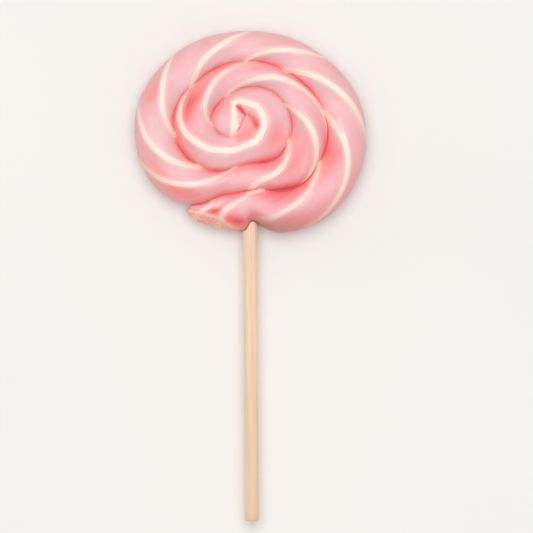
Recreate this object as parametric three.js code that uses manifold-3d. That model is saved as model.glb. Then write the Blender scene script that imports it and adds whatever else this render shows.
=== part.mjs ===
// Swirl lollipop, lying on its back: a hand-pulled candy rope coiled inward into a disc, pressed flat on
// its back while warm, with a round wooden stick pushed in from the -Y side.
// Millimetres and degrees. +Z is up, the swirl faces up, the stick runs toward -Y.
//
// Places on the coil are told by their walk, the angle walked along the rope: 0 is at the stick, and it
// grows counter-clockwise seen from above, from the loose tail on the rim inward to the centre.

import * as THREE from 'three';
import { mergeVertices } from 'three/addons/utils/BufferGeometryUtils.js';
import Module from 'manifold-3d';

// ---- the coil's plan: radius of the rope's outer edge, each eighth of a turn: S SE E NE N NW W SW
const OUTER_TURN = [35.7, 41.2, 39.5, 33.4, 30.3, 32.4, 36.3, 35.0];
const MIDDLE_TURN = [22.1, 27.2, 26.8, 22.2, 20.4, 20.8, 23.6, 20.4];
const INNER_TURN = [13.4, 15.2, 15.2, 13.8, 11.6, 10.7, 11.0, 6.3];
const CORE_EDGE = [1.4, 0.2, 0]; // the last eighths, under the closed centre
const BEFORE_TAIL = [35.0, 36.4]; // the rim line carried on past the tail's tip, W and SW
const EIGHTH = 45;

// ---- the rope
const EQUATOR_Z = 6.25; // height of the rope's widest line above the flat back
const TOP_HEIGHT = 6.5; // crest above that line
const BACK_HEIGHT = 6.9; // what the back would reach below it if it were not pressed flat
const GROOVE_RATIO = 0.55; // height of the groove between two turns, as a share of the crest's
const BACK_GROOVE_RATIO = 0.74;
const CREST_WAVE = { height: 0.25, walk: 205, endsFrom: 660, endsAt: 750 }; // slow rise and fall

// ---- the twist: raised, striped lobes wind round the rope; walks where each lobe crosses the crest
const LOBE_CROSSINGS = [-26, -14, 25, 77, 117, 156, 205, 251, 288.5, 317, 386, 449, 513, 589, 658.5, 740];
const LOBES = 3;
const LOBE_RISE = 0.42; // lobe above the rope's mean surface, at the crest
const LOBE_GROOVE_RISE = 0.7; // how much a lobe that ends in a groove fills it
const LOBE_PUSH = 0.45; // how far a lobe of the outer turn pushes the groove inward
const LAST_LOBE_WALK = 658.5; // from here the twist stops and the last lobe runs round the core

// ---- the loose tail, where the rope ends on the rim
const TAIL_TIP = -33;
const TAIL_FULL = 12; // the tail has its full height from here on
const TAIL_BLUNTNESS = 2.6;
const TAIL_SKEW = { angle: -1.2, length: 8 }; // the tip reaches further round than the notch behind it
const TAIL_TAPER = { depth: 1.4, length: 9 }; // the rim draws in toward the tip
const TAIL_PINCH = { walk: 342, depth: 1.27, reach: 8 }; // the groove bites inward behind the tail
const CUT = { slope: 1.35, steepensFrom: -22, steepness: 0.0065 }; // slanting cut face on the tail's edge

// ---- dents
const STICK_DENT = { walk: 5.5, depth: 3, before: 4, after: 7 }; // the rim is pushed in by the stick
const MOUTH_DENT = { x: 3.1, y: -32.2, depth: 1.1, reach: 2.8 }; // the surface sinks over the stick
const DENTS = [
  { x: -10.6, y: -29, depth: 0.5, reach: 2.4 }, // above the cut face, near the tail's tip
  { x: -2.8, y: -31.6, depth: 0.45, reach: 2.6 }, // and near the stick
  { x: 11.7, y: -23.9, depth: 0.45, reach: 4.5 }, // beside the outer groove, beyond the stick
  { x: 28.3, y: -11.4, depth: 0.6, reach: 4.5 }, // and further round
  { x: 13.1, y: -21, depth: 0.5, reach: 3.5 },
  { x: -18, y: 6.8, depth: 0.7, reach: 4.5 }, // in the side of the middle turn
  { x: 6.4, y: -12.1, depth: 0.4, reach: 3.5 },
  { x: 10.1, y: -3.7, depth: 0.3, reach: 4 },
  { x: -9.2, y: 4.3, depth: 0.35, reach: 3.5 },
  { x: 0, y: 0.25, depth: 0.6, reach: 6.5 }, // the sunken centre
  { x: -1.3, y: 4.4, depth: 0.7, reach: 1.1 }, // the crack in it
  { x: 2.6, y: 1, depth: 0.5, reach: 1.2 },
];
const DENT_FADE_HEIGHT = 3; // dents run out below this height, toward the rim

// ---- the centre, where the groove round the core fades out
const FADE_FROM = 1005;
const FADE_TO = 1045;

// ---- the mesh
const ROWS_PER_TURN = 64;
const LAST_ROW = 203;
const UPPER_COLUMNS = 12; // across the rope, edge to edge
const BACK_COLUMNS = 10;
const WELD = 1e-4;

// ---- the stick
const STICK_RADIUS = 2.4;
const STICK_LENGTH = 127;
const STICK_FREE_END_Y = -130.6; // from the swirl's centre
const STICK_AXIS_Z = 6.2;
const STICK_AT_RIM = { x: 1.6, y: -35.2 };
const STICK_LEAN = 0.38; // the free end swings to +X
const STICK_CHAMFER = 0.35;
const STICK_FACES = 32;
const SOCKET_GAP = 0.3;

const PINK = 0xf0a8b0;
const WOOD = 0xe9cba4;

const TURN = 360;
const RAD = Math.PI / 180;
const STEP = TURN / ROWS_PER_TURN;
const GROOVE_OPENING = Math.acos(GROOVE_RATIO) / RAD; // from the crest down to a groove, round the rope
const RADII = [...BEFORE_TAIL, ...OUTER_TURN, ...MIDDLE_TURN, ...INNER_TURN, ...CORE_EDGE];

const clamp = (value, low, high) => Math.min(high, Math.max(low, value));
const bell = (distance, reach) => Math.exp(-((distance / reach) ** 2));

/** 0 below `from`, 1 above `to`, smooth between. */
function ramp(value, from, to) {
  const t = clamp((value - from) / (to - from), 0, 1);
  return t * t * (3 - 2 * t);
}

/** Smooth curve through evenly spaced values; `place` counts them, 0 for the first. */
function throughValues(values, place) {
  const k = clamp(Math.floor(place), 0, values.length - 2);
  const t = clamp(place - k, 0, 1);
  const at = (index) => values[clamp(index, 0, values.length - 1)];
  const [p0, p1, p2, p3] = [at(k - 1), at(k), at(k + 1), at(k + 2)];
  return 0.5 * (2 * p1 + (p2 - p0) * t + (2 * p0 - 5 * p1 + 4 * p2 - p3) * t ** 2
    + (3 * p1 - p0 - 3 * p2 + p3) * t ** 3);
}

/** How many lobes have crossed the crest by this walk; a whole number where one crosses. */
function lobesPassed(walk) {
  const [first, second] = LOBE_CROSSINGS;
  if (walk <= first) return (walk - first) / (second - first);
  let [low, high] = [0, LOBE_CROSSINGS.length - 1];
  for (let halving = 0; halving < 40; halving += 1) {
    const middle = (low + high) / 2;
    if (throughValues(LOBE_CROSSINGS, middle) < Math.min(walk, LAST_LOBE_WALK)) low = middle;
    else high = middle;
  }
  return low;
}

/** Lobe wave, 1 on a ridge and -1 between two, at `around` degrees round the rope from its crest. */
function lobeWave(walk, around) {
  return Math.cos(2 * Math.PI * (lobesPassed(walk) - (LOBES * around) / TURN));
}

/** Crest height above the equator. */
function crestHeight(walk) {
  const tail = clamp((walk - TAIL_TIP) / (TAIL_FULL - TAIL_TIP), 0, 1);
  const wave = CREST_WAVE.height * Math.sin(((walk - TAIL_TIP) / CREST_WAVE.walk) * 2 * Math.PI);
  const shown = ramp(walk, TAIL_TIP, TAIL_FULL) * (1 - ramp(walk, CREST_WAVE.endsFrom, CREST_WAVE.endsAt));
  return (TOP_HEIGHT + wave * shown) * Math.sqrt(1 - (1 - tail) ** TAIL_BLUNTNESS);
}

/** How much of its full height the rope has; under 1 only in the tail. */
function fullness(walk) {
  return Math.min(1, crestHeight(walk) / TOP_HEIGHT);
}

/** Plan radius of the rope's outer edge. */
function edgeRadius(walk) {
  const fromStick = walk - STICK_DENT.walk;
  const byStick = fromStick < 0 ? (fromStick / STICK_DENT.before) ** 4 : (fromStick / STICK_DENT.after) ** 2;
  const taper = clamp(1 - (walk - TAIL_TIP) / TAIL_TAPER.length, 0, 1);
  return throughValues(RADII, walk / EIGHTH + BEFORE_TAIL.length)
    - TAIL_TAPER.depth * taper ** 2
    - TAIL_PINCH.depth * bell(walk - TAIL_PINCH.walk, TAIL_PINCH.reach)
    - STICK_DENT.depth * Math.exp(-byStick);
}

/** The rope's outer edge: its radius, and its heights above and below the equator, 0 on the rim. */
function edge(row) {
  const walk = TAIL_TIP + row * STEP;
  const radius = edgeRadius(walk);
  if (row <= ROWS_PER_TURN) return { radius, up: 0, down: 0 };
  const outerWalk = walk - TURN; // the turn outside this groove
  const share = 1 - ramp(walk, FADE_FROM, FADE_TO);
  const ratio = 1 - (1 - GROOVE_RATIO) * share;
  const backRatio = 1 - (1 - BACK_GROOVE_RATIO) * share;
  const full = fullness(outerWalk) * share;
  const [outside, inside] = [lobeWave(outerWalk, GROOVE_OPENING), lobeWave(walk, -GROOVE_OPENING)];
  const rise = 0.5 * LOBE_GROOVE_RISE * (outside + inside) * full;
  const push = LOBE_PUSH * Math.max(outside, 0) ** 2 * full;
  const up = Math.min(ratio * crestHeight(outerWalk) + rise, crestHeight(walk), crestHeight(outerWalk));
  return { radius: radius - push, up, down: backRatio * BACK_HEIGHT * fullness(outerWalk) };
}

/** A point of the rope's round section; t is 0 at an edge and 1 on the crest. */
function rounded(height, edgeHeight, t) {
  const opening = Math.acos(clamp(edgeHeight / Math.max(height, 1e-6), 0, 1));
  const turned = (1 - t) * opening;
  const outward = opening > 1e-3 ? Math.sin(turned) / Math.sin(opening) : 1 - t;
  return { outward, height: height * Math.cos(turned), around: turned / RAD };
}

/** How far the surface sinks at a plan position, for one round dent. */
function sink(dent, x, y) {
  return dent.depth * bell(Math.hypot(x - dent.x, y - dent.y), dent.reach);
}

/** Height of the tail's slanting cut face, at a distance in from the rim. */
function cutHeight(walk, inward) {
  if (walk >= 0) return Infinity;
  return inward * (CUT.slope + CUT.steepness * Math.max(0, walk - CUT.steepensFrom) ** 2);
}

const edges = Array.from({ length: LAST_ROW + 1 }, (_, row) => edge(row));
const POLE = { radius: 0, up: crestHeight(TAIL_TIP + LAST_ROW * STEP), down: BACK_HEIGHT };

/** One row of points across the rope, outer edge first, on the upper or the back surface. */
function rowOfPoints(row, upper) {
  const walk = TAIL_TIP + row * STEP;
  const outer = edges[row];
  const inner = edges[row + ROWS_PER_TURN] ?? POLE;
  const height = upper ? crestHeight(walk) : BACK_HEIGHT * fullness(walk);
  const skewed = clamp(1 - (walk - TAIL_TIP) / TAIL_SKEW.length, 0, 1) ** 2;
  const columns = upper ? UPPER_COLUMNS : BACK_COLUMNS;
  const lobes = fullness(walk) * (1 - ramp(walk, FADE_FROM, FADE_TO));
  const points = [];
  for (let column = 0; column <= columns; column += 1) {
    const v = column / columns;
    const sign = v <= 0.5 ? -1 : 1; // outer half, inner half
    const side = v <= 0.5 ? outer : inner;
    const even = 1 - Math.abs(2 * v - 1);
    const t = row > 0 ? even : Math.floor(even); // at the tip both surfaces share an edge of three points
    const section = rounded(height, upper ? side.up : side.down, t);
    const across = (1 + sign * section.outward) / 2;
    const radius = outer.radius + (inner.radius - outer.radius) * across;
    const angle = (walk - 90 + TAIL_SKEW.angle * (1 - across) * skewed) * RAD;
    const [x, y] = [radius * Math.cos(angle), radius * Math.sin(angle)];
    let rise = -section.height;
    if (upper) {
      const wave = lobeWave(walk, sign * section.around) * Math.sin((t * Math.PI) / 2) ** 2;
      const swollen = section.height + LOBE_RISE * wave * lobes;
      const sunk = DENTS.reduce((sum, dent) => sum + sink(dent, x, y), sink(MOUTH_DENT, x, y) * t);
      const cut = Math.min(swollen, cutHeight(walk, outer.radius - radius));
      rise = Math.max(0, cut - sunk * Math.min(1, section.height / DENT_FADE_HEIGHT));
    }
    points.push(new THREE.Vector3(x, y, Math.max(0, EQUATOR_Z + rise)));
  }
  return points;
}

/** Triangle corners of the coil's upper or back surface, wound to face outward. */
function surface(upper) {
  const rows = edges.map((_, row) => rowOfPoints(row, upper));
  const columns = upper ? UPPER_COLUMNS : BACK_COLUMNS;
  const last = rows[LAST_ROW];
  rows[LAST_ROW] = last.map((point, column) => (column < columns ? last[0] : point));
  const points = [];
  const add = (a, b, c) => points.push(...(upper ? [a, b, c] : [a, c, b]));
  for (let row = 0; row < LAST_ROW; row += 1) {
    const [here, next] = [rows[row], rows[row + 1]];
    for (let k = 0; k < columns; k += 1) {
      add(here[k], next[k], next[k + 1]);
      add(here[k], next[k + 1], here[k + 1]);
    }
  }
  return points;
}

/** The whole coil: a strip that winds inward, each row's inner edge welded to the next turn's outer. */
function coilGeometry() {
  return new THREE.BufferGeometry().setFromPoints([...surface(true), ...surface(false)]);
}

/** A round bar along the stick's line, from the free end to `high`, with chamfered ends. */
function barGeometry(radius, high) {
  const low = STICK_FREE_END_Y;
  const face = radius - STICK_CHAMFER;
  const profile = [
    new THREE.Vector2(0, low),
    new THREE.Vector2(face, low),
    new THREE.Vector2(radius, low + STICK_CHAMFER),
    new THREE.Vector2(radius, high - STICK_CHAMFER),
    new THREE.Vector2(face, high),
    new THREE.Vector2(0, high),
  ];
  return new THREE.LatheGeometry(profile, STICK_FACES)
    .translate(0, -STICK_AT_RIM.y, 0)
    .rotateZ(STICK_LEAN * RAD)
    .translate(STICK_AT_RIM.x, STICK_AT_RIM.y, STICK_AXIS_Z);
}

const wasm = await Module();
wasm.setup();

/** Closed body of a geometry, without the triangles that weld to a line or a point. */
function solid(geometry) {
  geometry.deleteAttribute('normal');
  geometry.deleteAttribute('uv');
  const merged = mergeVertices(geometry, WELD);
  const index = merged.index.array;
  const kept = [];
  for (let k = 0; k < index.length; k += 3) {
    const [a, b, c] = [index[k], index[k + 1], index[k + 2]];
    if (a !== b && b !== c && c !== a) kept.push(a, b, c);
  }
  const vertProperties = new Float32Array(merged.attributes.position.array);
  return new wasm.Manifold(new wasm.Mesh({ numProp: 3, vertProperties, triVerts: new Uint32Array(kept) }));
}

/** Named mesh of a closed body. */
function meshOf(name, body, color, roughness) {
  const { vertProperties, triVerts } = body.getMesh();
  const geometry = new THREE.BufferGeometry();
  geometry.setAttribute('position', new THREE.BufferAttribute(new Float32Array(vertProperties), 3));
  geometry.setIndex(new THREE.BufferAttribute(new Uint32Array(triVerts), 1));
  geometry.computeVertexNormals();
  const mesh = new THREE.Mesh(geometry, new THREE.MeshStandardMaterial({ color, roughness, metalness: 0 }));
  mesh.name = name;
  return mesh;
}

const stickTop = STICK_FREE_END_Y + STICK_LENGTH;
const coil = solid(coilGeometry());
const socket = solid(barGeometry(STICK_RADIUS + SOCKET_GAP, stickTop + SOCKET_GAP));
const stick = solid(barGeometry(STICK_RADIUS, stickTop));

const lollipop = new THREE.Group();
lollipop.add(meshOf('candy_coil', coil.subtract(socket), PINK, 0.4));
lollipop.add(meshOf('stick', stick, WOOD, 0.75));

const bounds = new THREE.Box3().setFromObject(lollipop);
const middle = bounds.getCenter(new THREE.Vector3());
for (const mesh of lollipop.children) mesh.geometry.translate(-middle.x, -middle.y, -bounds.min.z);

export default lollipop;
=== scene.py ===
"""Swirl lollipop: a hand-pulled candy rope coiled into a disc, on a round wooden stick.

It lies on its flat back with the swirl facing up and the stick toward -Y. Shapes are worked out in
millimetres and degrees from the middle of the swirl, and placed in the row's frame, in metres, at the end.

Places on the coil are told by their walk, the angle walked along the rope: 0 is at the stick, and it grows
counter-clockwise seen from above, from the loose tail on the rim inward to the centre.
"""

import logging
from dataclasses import dataclass, field
from enum import Enum

import bpy
import numpy as np
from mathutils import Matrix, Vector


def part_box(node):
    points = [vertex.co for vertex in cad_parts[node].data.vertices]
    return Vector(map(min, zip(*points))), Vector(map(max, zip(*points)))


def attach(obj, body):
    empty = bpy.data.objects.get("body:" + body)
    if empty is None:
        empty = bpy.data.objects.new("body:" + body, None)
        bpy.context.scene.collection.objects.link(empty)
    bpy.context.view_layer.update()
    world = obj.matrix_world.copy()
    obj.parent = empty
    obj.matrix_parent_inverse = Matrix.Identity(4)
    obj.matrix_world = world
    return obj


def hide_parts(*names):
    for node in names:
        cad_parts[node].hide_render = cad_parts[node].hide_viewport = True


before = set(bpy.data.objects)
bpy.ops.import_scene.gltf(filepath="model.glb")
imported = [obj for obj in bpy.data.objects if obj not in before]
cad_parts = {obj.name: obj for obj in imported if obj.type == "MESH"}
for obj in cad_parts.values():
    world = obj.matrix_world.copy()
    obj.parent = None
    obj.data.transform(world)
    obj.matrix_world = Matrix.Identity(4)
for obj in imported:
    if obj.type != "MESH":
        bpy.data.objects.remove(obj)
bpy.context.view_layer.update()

Array = np.ndarray
Pair = tuple[float, float]
Triple = tuple[float, float, float]
Values = tuple[float, ...]
Colour = tuple[float, float, float, float]
Material = bpy.types.Material
Piece = bpy.types.Object
Socket = bpy.types.NodeSocket

LOG = logging.getLogger("lollipop")
MM = 0.001
TURN = 360
QUARTER = 90.0


class Side(Enum):
    """The two surfaces of the coil."""

    UPPER = 1
    BACK = -1


class Slot(Enum):
    """Material slots of the record."""

    CANDY = "candy"
    WOOD = "stick_wood"


class Mark(Enum):
    """Values that the candy's mesh carries for its finish, one for each face corner."""

    STRIPE = "stripe"  # stripes passed; a whole number is the middle of a stripe
    REACH = "stripe_reach"  # half the stripe's width, in the same unit
    SHOWN = "stripe_shown"  # how much of the stripe shows, 0 where it has ended
    PEACH = "peach"  # 0 where the stripe is cream, 1 where it is peach: toward the edges, partly painted shade
    GROOVE_SHADE = "hollow"  # painted shade: 0 on a crest, 1 at the bottom of a groove, and below 0 a painted highlight
    RIM_SHADE = "painted_rim_shade"  # painted shade, dull and dark, on the rim round the stick
    SOCKET = "socket"  # painted contact shadow, brown, on the line where the stick goes in
    CUT = "cut"  # 1 on the flat face cut at the tail
    FOLD_HIGHLIGHT = "fold_highlight"  # painted highlight, 1 on the pale edge between the rope and its cut face
    ALONG = "along"  # walked length of the rope, in mm


def ramp(value: Array, low: float, high: float) -> Array:
    """0 below low, 1 above high, and smooth between, by 3t^2 - 2t^3."""
    t = np.clip((value - low) / (high - low), 0, 1)
    return t * t * (3 - 2 * t)


def bell(distance: Array, reach: float | Array) -> Array:
    """Bell curve exp(-(distance / reach)^2)."""
    return np.exp(-((distance / reach) ** 2))


def lopsided(distance: Array, before: float, after: float) -> Array:
    """Bell curve with one reach for distances below 0 and another for those above."""
    return bell(distance, np.where(distance < 0, before, after))


def through(values: Values, place: Array) -> Array:
    """Uniform Catmull-Rom curve through evenly spaced values.

    Args:
        values: the values to pass through.
        place: where to read the curve, counted in values from the first.

    Returns:
        The curve's values at those places.
    """
    known = np.asarray(values, float)
    last = len(known) - 1
    k = np.clip(np.floor(place), 0, last - 1).astype(int)
    t = np.clip(place - k, 0, 1)
    before, here = known[np.maximum(k - 1, 0)], known[k]
    ahead, after = known[k + 1], known[np.minimum(k + 2, last)]
    return 0.5 * (
        2 * here
        + (ahead - before) * t
        + (2 * before - 5 * here + 4 * ahead - after) * t**2
        + (3 * here - before - 3 * ahead + after) * t**3
    )


def linear(red: int, green: int, blue: int) -> Colour:
    """Scene-linear colour of a screen colour.

    Args:
        red: its red, on the usual screen scale of 0 to 255.
        green: its green.
        blue: its blue.

    Returns:
        Red, green, blue and an alpha of 1, for a shader.
    """
    share = np.array([red, green, blue]) / 255
    low, high = share / 12.92, ((share + 0.055) / 1.055) ** 2.4
    return (*(float(x) for x in np.where(share <= 0.04045, low, high)), 1.0)


@dataclass
class Twist:
    """The twist of the rope: raised, striped lobes wind round it, one after another.

    For each stripe, in order along the rope, outer, crest and inner hold the walks where it is near the
    rope's outer edge, on its crest and near its inner edge, hook how much more it turns along the rope near
    the edges than on the crest, width its width in mm, and clear how much it shows. The last stripe but one
    stays on the rope and runs round the core, at the places across the rope that core_sides gives for even
    steps of walk, and widens to an arm at its end.
    """

    outer: Values = (
        -28, -15, 2, 36, 88.5, 131.5, 180, 229.5, 264, 293, 366, 415, 463, 541, 611, 690,
    )  # fmt: skip
    crest: Values = (
        -26.3, -13.8, 25.2, 77.3, 116.7, 156.2, 205.4, 251.3,
        288.5, 316.7, 386, 448.7, 513, 589, 658.5, 740,
    )  # fmt: skip
    inner: Values = (
        -23, 8.2, 57.2, 94.5, 139.8, 177.3, 232, 275.4, 310, 341.6, 422.6, 470.6, 560, 626.6, 700, 780,
    )  # fmt: skip
    hook: Values = (0, 0.6, 0, 0.3, 0.1, 0, 0, 0.1, 0.1, 0.2, -0.1, 0.2, 0.5, 0.1, 0.2, 0.2)
    width: Values = (
        1.9, 1.8, 1.9, 2.0, 2.2, 1.6, 2.0, 1.8, 2.1, 1.6, 2.1, 1.9, 2.1, 1.6, 2.2, 2.2,
    )  # fmt: skip
    near_edge: float = 0.9
    lines_across: int = 41
    core_from: float = 640
    core_to: float = 668
    core_rate: float = 0.62
    core_step: float = 20
    core_sides: Values = (
        -0.34, -0.10, 0.16, 0.09, -0.03, 0.04, 0.15, 0.19, 0.18, 0.16, 0.11,
        0.03, -0.06, -0.20, -0.37, -0.03, 0.25, 0.37, 0.31, 0.0, -0.9, -1.8,
    )  # fmt: skip
    core_corner: Triple = (930, 6, -0.13)
    arm_from: float = 945
    arm_full: float = 1000
    arm_width: float = 3.0
    clear: Values = (0.8, 0.87, 0.78, 0.94, 1, 0.97, 1, 1, 1, 0.86, 0.85, 1, 1, 0.8, 1, 1)

    def walks(self, lateral: float) -> Array:
        """Walks of all stripes on a line along the rope.

        Args:
            lateral: place across the rope, -1 on the outer edge and 1 on the inner one.

        Returns:
            The parabola through outer, crest and inner, plus the hook's cubic, which is 0 at all three.
        """
        listed = (self.outer, self.crest, self.inner, self.hook)
        outer, crest, inner, hook = (np.array(values, float) for values in listed)
        s = lateral / self.near_edge
        lean, bow = (inner - outer) / 2, (inner + outer) / 2 - crest
        return crest + lean * (s + hook * (s**3 - s)) + bow * s**2

    def core_path(self, walk: Array) -> Array:
        """Path of the stripe round the core.

        Args:
            walk: places along the rope.

        Returns:
            Its places across the rope: a smooth curve with one sharp corner.
        """
        at, reach, size = self.core_corner
        smooth = through(self.core_sides, (walk - self.core_from) / self.core_step)
        return smooth + size * bell(walk - at, reach)

    def half_width(self, walk: Array, phase: Array) -> Array:
        """Half the width of the stripe nearest to a place.

        Args:
            walk: places along the rope, one for each row.
            phase: stripes passed, for each row and column.

        Returns:
            Half the width in mm, which goes over to the arm's at the end of the stripe in the core.
        """
        listed = np.interp(phase, np.arange(len(self.width)), self.width)
        share = ramp(walk, self.arm_from, self.arm_full)[:, None]
        return (listed + (self.arm_width - listed) * share) / 2

    def clearness(self, phase: Array) -> Array:
        """How clear the stripe is that is nearest to a place on the rope: 1 for a full cream."""
        return np.interp(phase, np.arange(len(self.clear)), self.clear)

    def phase(self, walk: Array, lateral: Array) -> Array:
        """Stripes passed at places on the rope's surface.

        Args:
            walk: places along the rope, one for each row.
            lateral: places across it, for each row and column: -1 on the outer edge, 1 on the inner one.

        Returns:
            A whole number in the middle of a stripe, and straight between two stripes, and before the
            first, at the same place across. Round the core it is the number of the stripe that stays on the
            rope, less a share of the distance from its path.
        """
        lines = np.linspace(-1, 1, self.lines_across)
        count = np.arange(len(self.crest))
        tall = np.stack([np.interp(walk, self.walks(line), count) for line in lines], 1)
        first = np.stack([(walk - w[0]) / (w[1] - w[0]) for w in map(self.walks, lines)], 1)
        tall = np.where(first < 0, first, tall)
        place = (lateral + 1) / 2 * (len(lines) - 1)
        k = np.clip(np.floor(place), 0, len(lines) - 2).astype(int)
        row = np.arange(len(walk))[:, None]
        coiled = tall[row, k] + (tall[row, k + 1] - tall[row, k]) * (place - k)
        aside = self.core_rate * (lateral - self.core_path(walk)[:, None])
        core = len(self.crest) - 2 - np.clip(aside, -0.5, 0.5)
        share = ramp(walk, self.core_from, self.core_to)[:, None]
        return coiled * (1 - share) + core * share


@dataclass
class CoilPlan:
    """The coil seen from above: radii of the rope's outer edge at each eighth of a turn from the stick."""

    before_tail: Values = (35.0, 36.4)
    outer_turn: Values = (35.7, 41.2, 39.5, 33.4, 30.3, 32.4, 36.3, 35.0)
    middle_turn: Values = (22.1, 27.2, 26.8, 22.2, 20.4, 20.8, 23.6, 20.4)
    inner_turn: Values = (13.4, 15.2, 15.2, 13.8, 11.6, 10.7, 11.0, 6.3)
    core_edge: Values = (1.4, 0.2, 0, 0)
    eighth: float = 45
    tail_tip: float = -33
    taper_depth: float = 1.4
    taper_length: float = 9
    pinch_walk: float = 342
    pinch_depth: float = 1.27
    pinch_reach: float = 8
    stick_walk: float = 5.5
    stick_depth: float = 3.0
    stick_before: float = 4
    stick_after: float = 7

    def radius(self, walk: Array) -> Array:
        """Plan radius of the rope's outer edge.

        Args:
            walk: places along the rope.

        Returns:
            The Catmull-Rom curve through the listed radii, drawn in by a parabola toward the tail's tip, by
            a bell behind the tail, and where the stick goes in, by a bell steeper on the side of the tail.
        """
        listed = self.before_tail + self.outer_turn + self.middle_turn + self.inner_turn + self.core_edge
        taper = np.clip(1 - (walk - self.tail_tip) / self.taper_length, 0, 1) ** 2
        from_stick = walk - self.stick_walk
        before, after = (from_stick / self.stick_before) ** 4, (from_stick / self.stick_after) ** 2
        return (
            through(listed, walk / self.eighth + len(self.before_tail))
            - self.taper_depth * taper
            - self.pinch_depth * bell(walk - self.pinch_walk, self.pinch_reach)
            - self.stick_depth * np.exp(-np.where(from_stick < 0, before, after))
        )


@dataclass
class Valleys:
    """Hollows between the lobes, where they meet the groove on either side of the rope.

    inner and outer hold how strong each valley is near the rope's inner and outer edge, for the valleys
    after the first stripe, the second, and so on.
    """

    inner: Values = (
        0.6, 1.0, 1.0, 0.75, 0.7, 0.6, 0.6, 0.85, 0.55, 0.8, 0.75, 0.55, 0.75, 0.5, 0,
    )  # fmt: skip
    outer: Values = (0.6, 0.75, 0.5, 0.35, 0.15, 0.2, 0.3, 0.5, 0.4, 0.5, 1.0, 0.5, 0.3, 0.3, 0)
    inner_from: float = 0.3
    outer_from: float = 0.6
    skew: float = 1.5
    depth: float = 0.6

    def strength(self, phase: Array, lateral: Array) -> Array:
        """How much of a valley there is at places on the rope.

        Args:
            phase: stripes passed there.
            lateral: places across the rope.

        Returns:
            The valley's strength times a sine from stripe to stripe, which leans toward the later stripe at
            the inner edge, and times a smooth rise toward the edge.
        """
        k = np.clip(np.floor(phase), 0, len(self.inner) - 1).astype(int)
        part = np.clip(phase - k, 0, 1)
        inner = np.sin(np.pi * part**self.skew) * ramp(lateral, self.inner_from, 1)
        outer = np.sin(np.pi * part) * ramp(-lateral, self.outer_from, 1)
        return np.array(self.inner)[k] * inner + np.array(self.outer)[k] * outer


@dataclass(frozen=True)
class Dent:
    """A shallow dent on one turn of the rope.

    walk and side say where its middle is along and across the rope, before and after how many degrees it
    reaches along it, across how far it reaches across it, depth how deep it is in mm, red how much painted
    shade deepens its pink, below 0 a painted highlight, and hides how much of a stripe it swallows.
    """

    walk: float
    side: float
    before: float
    after: float
    across: float
    depth: float
    red: float = 0.0
    hides: float = 0.0

    def shape(self, walk: Array, lateral: Array) -> Array:
        """1 in the middle and 0 outside, a lopsided bell."""
        along = lopsided(walk - self.walk, self.before, self.after)
        return along * bell(lateral - self.side, self.across)


@dataclass(frozen=True)
class Crease:
    """A crack or a shallow pool along a broken line in plan, with a width at each corner of the line."""

    corners: tuple[Pair, ...]
    widths: Values
    depth: float
    # red: painted shade in the crack or pool; below 0 a painted highlight
    red: float

    def shape(self, x: Array, y: Array) -> Array:
        """How much a place belongs to the crack.

        Args:
            x: places in plan, in mm.
            y: the same, toward +Y.

        Returns:
            1 in it and 0 away from it: a bell of the distance to the nearest stretch of the line.
        """
        shown = np.zeros_like(x)
        for start, end, first, last in zip(self.corners, self.corners[1:], self.widths, self.widths[1:]):
            run = np.subtract(end, start)
            share = ((x - start[0]) * run[0] + (y - start[1]) * run[1]) / (run @ run)
            share = np.clip(share, 0, 1)
            off = np.hypot(x - start[0] - share * run[0], y - start[1] - share * run[1])
            shown = np.maximum(shown, bell(off, first + (last - first) * share))
        return shown


def new_mesh(name: str, points: Array, corners: Array) -> Piece:
    """A smooth-shaded object from triangles.

    Args:
        name: the piece's name.
        points: one row of three coordinates in metres for each vertex.
        corners: one row of three vertex numbers for each triangle.

    Returns:
        The new object, linked to the scene, at the origin. Points that no triangle uses are left out.
    """
    used, packed = np.unique(corners, return_inverse=True)
    points, corners = points[used], packed.reshape(-1, 3)
    mesh = bpy.data.meshes.new(name)
    mesh.vertices.add(len(points))
    mesh.vertices.foreach_set("co", points.astype(np.float32).ravel())
    mesh.loops.add(corners.size)
    mesh.loops.foreach_set("vertex_index", corners.astype(np.int32).ravel())
    mesh.polygons.add(len(corners))
    mesh.polygons.foreach_set("loop_start", np.arange(0, corners.size, 3, dtype=np.int32))
    mesh.polygons.foreach_set("use_smooth", np.ones(len(corners), bool))
    mesh.update(calc_edges=True)
    piece = bpy.data.objects.new(name, mesh)
    bpy.context.scene.collection.objects.link(piece)
    return piece


def grid_triangles(rows: int, columns: int) -> Array:
    """Corners of a grid's triangles, as flat grid numbers.

    Args:
        rows: number of steps from the first row of points to the last.
        columns: number of steps across.

    Returns:
        Two triangles for each cell: here, next, next + 1 and here, next + 1, here + 1.
    """
    i, k = np.meshgrid(np.arange(rows), np.arange(columns), indexing="ij")
    here = (i * (columns + 1) + k).ravel()
    ahead = here + columns + 1
    first = np.stack([here, ahead, ahead + 1], 1)
    second = np.stack([here, ahead + 1, here + 1], 1)
    return np.concatenate([first, second])


def whole(corners: Array) -> Array:
    """Which triangles have three different vertices."""
    a, b, c = corners.T
    return (a != b) & (b != c) & (c != a)


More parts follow.
